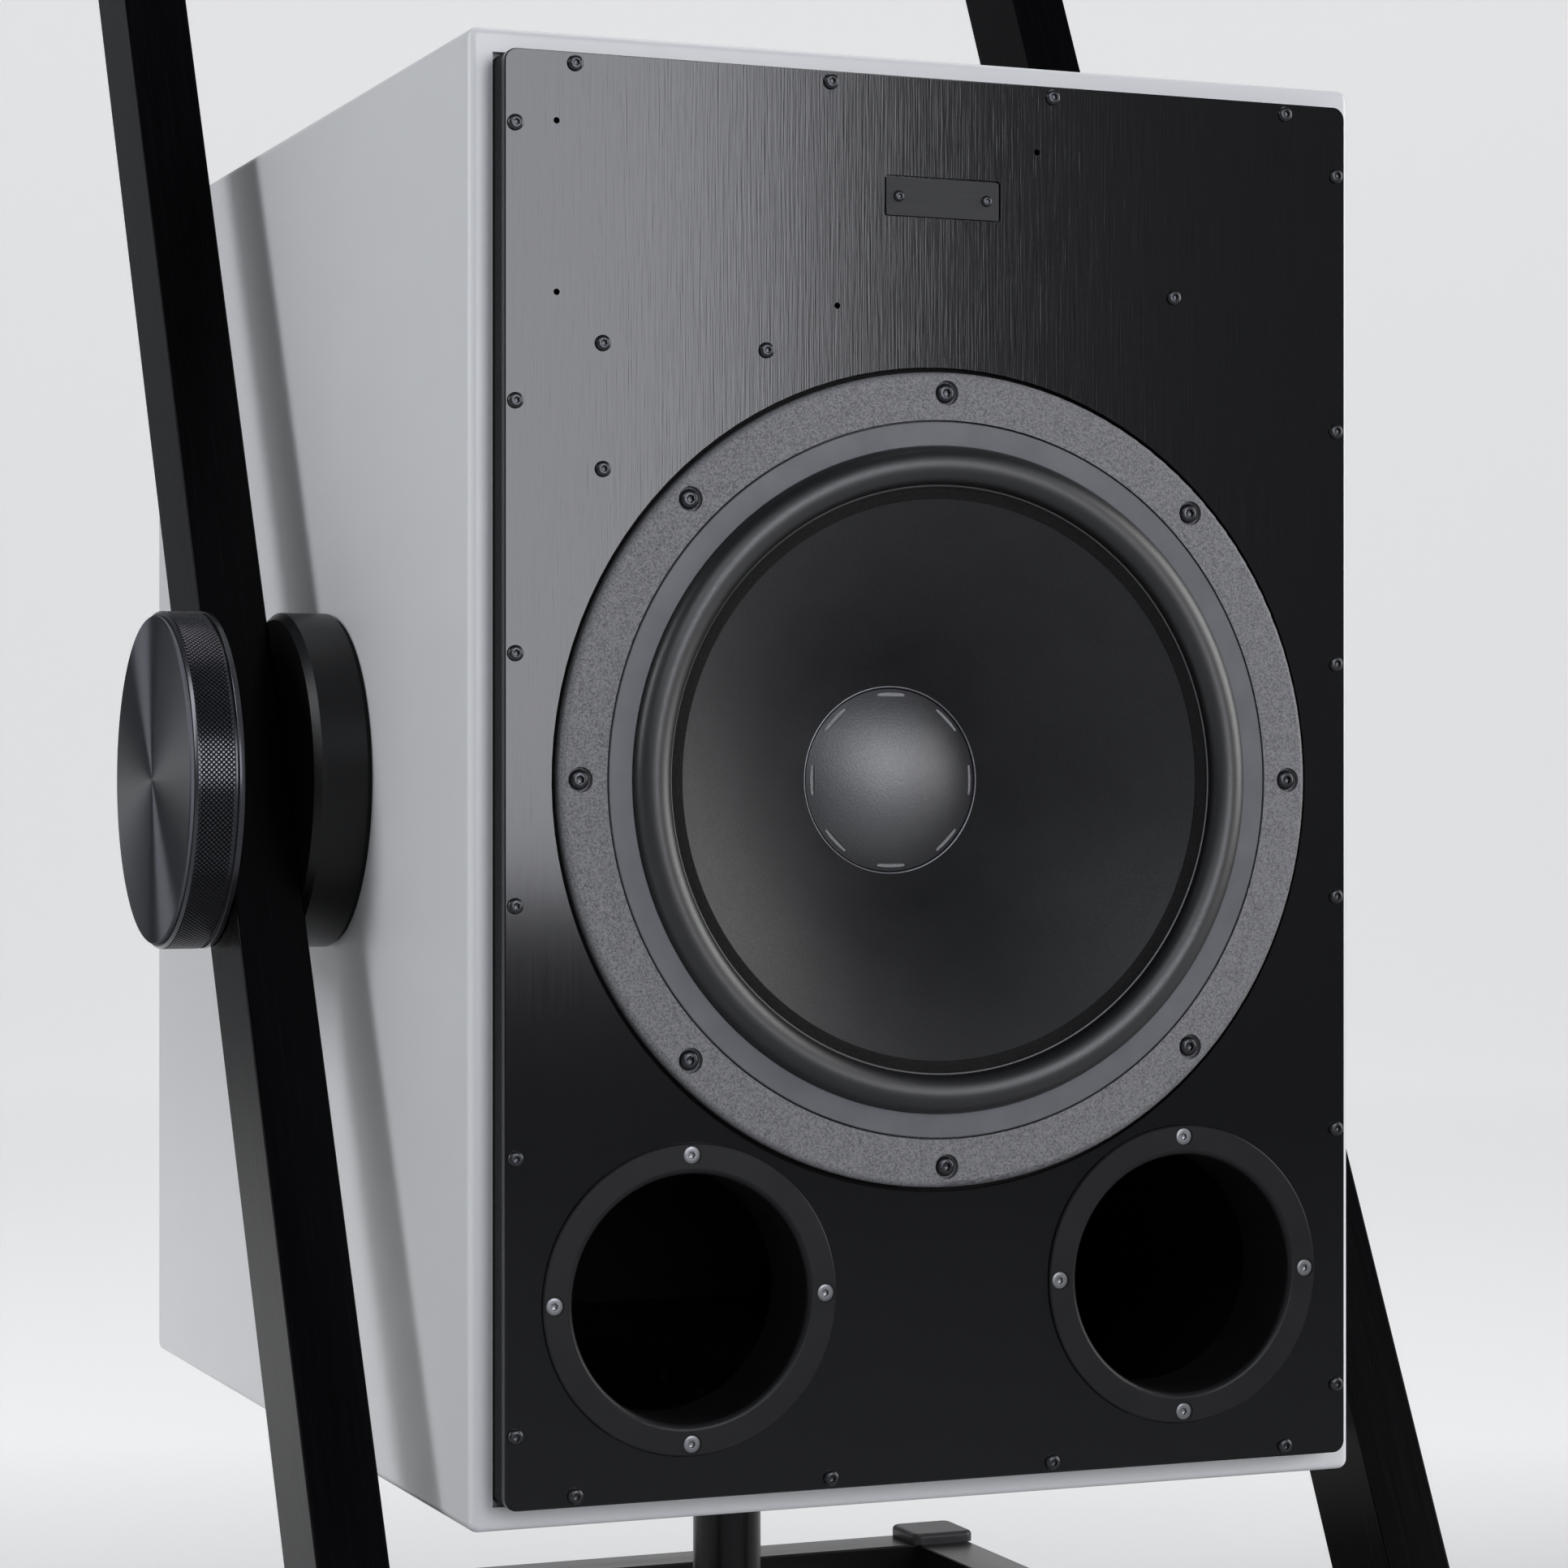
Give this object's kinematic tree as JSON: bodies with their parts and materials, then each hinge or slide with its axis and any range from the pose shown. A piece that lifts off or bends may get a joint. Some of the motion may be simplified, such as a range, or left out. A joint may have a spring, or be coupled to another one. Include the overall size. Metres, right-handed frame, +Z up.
{
  "type": "loudspeaker cabinet on a trunnion stand",
  "caption": "Bass reflex loudspeaker cabinet with a large cone driver and two front ports, hung on side trunnions with knurled clamp knobs between the leaning legs of a floor stand.",
  "frame": {"origin": "on the floor, under the middle of the object's box", "axes": "+X to the right as seen from the front, +Y from the front to the back, +Z up"},
  "size_m": [0.6484, 0.706, 1.087],
  "materials": {
    "cabinet_lacquer": "satin light grey lacquer",
    "black_board": "black stain, matt",
    "brushed_black_plate": "black anodised, brushed upright",
    "badge_metal": "black anodised, fine brushed, blank",
    "black_screw": "black oxide",
    "port_plastic": "satin black moulding",
    "grained_casting": "fine textured grey powder coat",
    "smooth_ring": "smooth satin grey",
    "surround_rubber": "satin black rubber",
    "gasket_foam": "matt black foam",
    "cone_fibre": "grainy pressed fibre",
    "cap_fibre": "fine grained, slight sheen",
    "former_paper": "resin-dipped cloth",
    "coil_copper": "enamelled wire",
    "plated_steel": "zinc plated",
    "ferrite": "matt",
    "dish_plastic": "fine textured black moulding",
    "boss_metal": "black anodised, turned",
    "stud_steel": "turned",
    "knurled_metal": "black anodised, diamond knurl",
    "spun_metal": "black anodised, spun face",
    "stand_metal": "black, brushed along its length",
    "cap_plastic": "satin black moulding",
    "bush_bronze": "turned",
    "foot_rubber": "matt"
  },
  "bodies": {
    "stand": {"left_leg": "stand_metal", "right_leg": "stand_metal", "leg_caps": "stand_metal", "pivot_bushes": "bush_bronze", "left_side_beam": "stand_metal", "right_side_beam": "stand_metal", "rear_beam": "stand_metal", "middle_beam": "stand_metal", "corner_blocks": "stand_metal", "corner_caps": "cap_plastic", "beam_end_caps": "stand_metal", "levelling_feet": "foot_rubber", "centre_post": "stand_metal", "rubber_buffer": "foot_rubber"},
    "cabinet": {"left_side_panel": "cabinet_lacquer", "right_side_panel": "cabinet_lacquer", "top_panel": "cabinet_lacquer", "bottom_panel": "cabinet_lacquer", "rear_panel": "black_board", "upper_brace": "black_board", "lower_brace": "black_board", "strike_plate": "plated_steel", "strike_plate_bolts": "black_screw", "front_board": "black_board", "face_plate": "brushed_black_plate", "face_plate_screws": "black_screw", "badge_plate": "badge_metal", "badge_screws": "black_screw", "left_port": "port_plastic", "right_port": "port_plastic", "port_screws": "black_screw", "driver_basket": "grained_casting", "surround_clamp_ring": "smooth_ring", "driver_gasket": "gasket_foam", "driver_bolts": "black_screw", "front_pole_plate": "plated_steel", "ferrite_magnet": "ferrite", "pole_piece": "plated_steel", "surround": "surround_rubber", "spider": "former_paper", "connector_dish": "dish_plastic", "connector_sockets": "dish_plastic", "connector_screws": "black_screw", "left_boss": "boss_metal", "right_boss": "boss_metal", "left_pivot_stud": "stud_steel", "right_pivot_stud": "stud_steel", "boss_bolts": "black_screw", "boss_gaskets": "gasket_foam", "backing_plates": "plated_steel"},
    "cone": {"cone": "cone_fibre", "dust_cap": "cap_fibre", "coil_former": "former_paper", "voice_coil": "coil_copper"},
    "left_knob": {"left_knob_core": "knurled_metal", "left_knob_grip": "knurled_metal", "left_knob_face": "spun_metal"},
    "right_knob": {"right_knob_core": "knurled_metal", "right_knob_grip": "knurled_metal", "right_knob_face": "spun_metal"}
  },
  "joints": [
    {"name": "cabinet_tilt", "type": "hinge", "parent": "stand", "child": "cabinet", "pos_m": [0, -0.043, 0.567], "axis": [1, 0, 0], "range_deg": [-10, 10]},
    {"name": "left_knob_turn", "type": "hinge", "parent": "cabinet", "child": "left_knob", "pos_m": [0, -0.043, 0.567], "axis": [-1, 0, 0], "range_deg": [0, 360]},
    {"name": "right_knob_turn", "type": "hinge", "parent": "cabinet", "child": "right_knob", "pos_m": [0, -0.043, 0.567], "axis": [1, 0, 0], "range_deg": [0, 360]},
    {"name": "cone_travel", "type": "slide", "parent": "cabinet", "child": "cone", "axis": [0, -1, 0], "range_m": [-0.006, 0.006], "stiffness_N_per_m": 6000, "deforming": ["surround", "spider"]}
  ]
}
